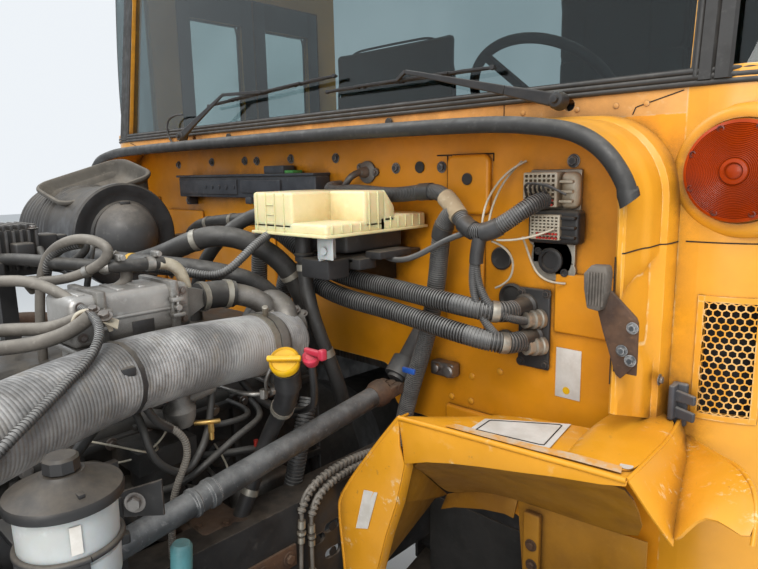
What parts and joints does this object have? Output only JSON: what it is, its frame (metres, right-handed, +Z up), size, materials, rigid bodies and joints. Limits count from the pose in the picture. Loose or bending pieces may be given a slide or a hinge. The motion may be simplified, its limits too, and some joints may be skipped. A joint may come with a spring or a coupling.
{
  "type": "school bus front section",
  "caption": "Front section of a school bus with its engine bay open: cowl, windshield, wipers, driver's area, folding entrance door, engine, frame rails, front axle and steered wheels.",
  "frame": {"origin": "middle of the rear crossmember's rear face, half-way up the frame rails, where the section is spliced to the rest of the bus", "axes": "+X to the bus's left (driver's side), +Y to its rear, +Z up; the front faces -Y"},
  "size_m": [2.4563, 3.04, 3.05],
  "materials": {
    "bus_yellow": "gloss paint, faded",
    "frame_black": "semi-gloss",
    "rim_black": "semi-gloss",
    "axle_paint": "satin, dusty",
    "engine_paint": "satin paint",
    "grey_casting": "rough cast",
    "bare_aluminium": "satin",
    "shaft_steel": "satin, rusty joint",
    "wiper_steel": "satin",
    "black_rubber": "matte",
    "tyre_rubber": "matte",
    "black_plastic": "satin",
    "tank_plastic": "translucent cream",
    "white_plastic": "satin",
    "yellow_plastic": "aged",
    "lamp_amber": "moulded lens",
    "window_glass": "tinted",
    "cab_grey": "grained",
    "floor_rubber": "ribbed",
    "seat_vinyl": "vinyl",
    "brake_line_green": "satin"
  },
  "bodies": {
    "chassis": {"frame_rails": "frame_black", "crossmembers": "frame_black", "front_bumper": "frame_black", "front_springs": "axle_paint", "front_axle_beam": "axle_paint", "steering_gear": "engine_paint", "roof": "bus_yellow", "windshield_frame": "bus_yellow", "side_walls": "bus_yellow", "corner_panels": "bus_yellow", "corner_grilles": "bus_yellow", "corner_lamps": "lamp_amber", "hood_landing": "bus_yellow", "firewall": "bus_yellow", "cowl_top": "bus_yellow", "windshield_glass": "window_glass", "glass_gaskets": "black_rubber", "hood_seal": "black_rubber", "hood_stops": "black_plastic", "splash_panels": "bus_yellow", "engine_block": "engine_paint", "valve_cover": "black_plastic", "intake_castings": "grey_casting", "charge_air_pipe": "bare_aluminium", "air_cleaner": "black_plastic", "radiator": "frame_black", "fan_shroud": "black_plastic", "steering_reservoir": "white_plastic", "coolant_tank": "tank_plastic", "firewall_plates": "black_plastic", "power_module": "black_plastic", "heater_hoses": "black_rubber", "rubber_hoses": "black_rubber", "wiring_looms": "black_plastic", "filler_and_dipstick": "yellow_plastic", "brake_lines": "brake_line_green", "cab_floor": "floor_rubber", "dashboard": "cab_grey", "driver_seat": "seat_vinyl", "crash_barriers": "seat_vinyl"},
    "knuckle_left": {"knuckle_left": "axle_paint"},
    "knuckle_right": {"knuckle_right": "axle_paint"},
    "wheel_left": {"rim_left": "rim_black", "tyre_left": "tyre_rubber"},
    "wheel_right": {"rim_right": "rim_black", "tyre_right": "tyre_rubber"},
    "tie_rod": {"tie_rod": "axle_paint"},
    "drag_link": {"drag_link": "axle_paint"},
    "pitman_arm": {"pitman_arm": "axle_paint"},
    "steering_shaft": {"steering_shaft": "shaft_steel"},
    "steering_wheel": {"steering_wheel": "black_plastic"},
    "fan": {"fan": "black_plastic"},
    "wiper_left": {"wiper_left": "wiper_steel"},
    "wiper_right": {"wiper_right": "wiper_steel"},
    "door_front": {"door_front_leaf": "bus_yellow", "door_glass_front": "window_glass"},
    "door_rear": {"door_rear_leaf": "bus_yellow", "door_glass_rear": "window_glass"}
  },
  "joints": [
    {"name": "steer_left", "type": "hinge", "parent": "chassis", "child": "knuckle_left", "pos_m": [0.87, -1.795, -0.32], "axis": [0, 0, 1], "range_deg": [-30, 30]},
    {"name": "steer_right", "type": "hinge", "parent": "chassis", "child": "knuckle_right", "pos_m": [-0.87, -1.795, -0.32], "axis": [0, 0, 1], "range_deg": [-30, 30]},
    {"name": "wheel_left_roll", "type": "hinge", "parent": "knuckle_left", "child": "wheel_left", "pos_m": [0.955, -1.795, -0.32], "axis": [1, 0, 0], "continuous": true},
    {"name": "wheel_right_roll", "type": "hinge", "parent": "knuckle_right", "child": "wheel_right", "pos_m": [-0.955, -1.795, -0.32], "axis": [1, 0, 0], "continuous": true},
    {"name": "tie_rod_swing", "type": "hinge", "parent": "knuckle_left", "child": "tie_rod", "pos_m": [0.87, -1.645, -0.4333], "axis": [0, 0, 1], "range_deg": [-30, 30]},
    {"name": "drag_link_swing", "type": "hinge", "parent": "knuckle_left", "child": "drag_link", "pos_m": [0.64, -1.795, -0.2117], "axis": [0, 0, 1], "range_deg": [-30, 30]},
    {"name": "pitman_swing", "type": "hinge", "parent": "chassis", "child": "pitman_arm", "pos_m": [0.503, -2.33, 0.02], "axis": [1, 0, 0], "range_deg": [-30, 30]},
    {"name": "steering_shaft_turn", "type": "hinge", "parent": "chassis", "child": "steering_shaft", "pos_m": [0.42, -1.358, 0.292], "axis": [0.0756, -0.993, -0.0912], "range_deg": [-620, 620]},
    {"name": "steering_wheel_turn", "type": "hinge", "parent": "chassis", "child": "steering_wheel", "pos_m": [0.42, -0.69, 0.96], "axis": [0, 0.7071, 0.7071], "range_deg": [-620, 620]},
    {"name": "fan_spin", "type": "hinge", "parent": "chassis", "child": "fan", "pos_m": [0, -2.56, 0.19], "axis": [0, 1, 0], "continuous": true},
    {"name": "wiper_left_sweep", "type": "hinge", "parent": "chassis", "child": "wiper_left", "pos_m": [0.78, -1.25209, 0.89], "axis": [0, 0.9925, -0.1219], "range_deg": [0, 85]},
    {"name": "wiper_right_sweep", "type": "hinge", "parent": "chassis", "child": "wiper_right", "pos_m": [-0.532, -1.25184, 0.892], "axis": [0, -0.9925, 0.1219], "range_deg": [0, 85]},
    {"name": "door_front_swing", "type": "hinge", "parent": "chassis", "child": "door_front", "pos_m": [-1.2283, -0.899, 0.5], "axis": [0, 0, 1], "range_deg": [0, 88]},
    {"name": "door_rear_swing", "type": "hinge", "parent": "chassis", "child": "door_rear", "pos_m": [-1.2283, -0.121, 0.5], "axis": [0, 0, -1], "range_deg": [0, 88]}
  ],
  "couplings": [
    {"joint": "steer_right", "follows": "steer_left", "ratio": 1},
    {"joint": "tie_rod_swing", "follows": "steer_left", "ratio": -1},
    {"joint": "drag_link_swing", "follows": "steer_left", "ratio": -1},
    {"joint": "pitman_swing", "follows": "steer_left", "ratio": -1},
    {"joint": "steering_shaft_turn", "follows": "steer_left", "ratio": 20},
    {"joint": "steering_wheel_turn", "follows": "steer_left", "ratio": 20},
    {"joint": "wiper_right_sweep", "follows": "wiper_left_sweep", "ratio": 1},
    {"joint": "door_rear_swing", "follows": "door_front_swing", "ratio": 1}
  ]
}
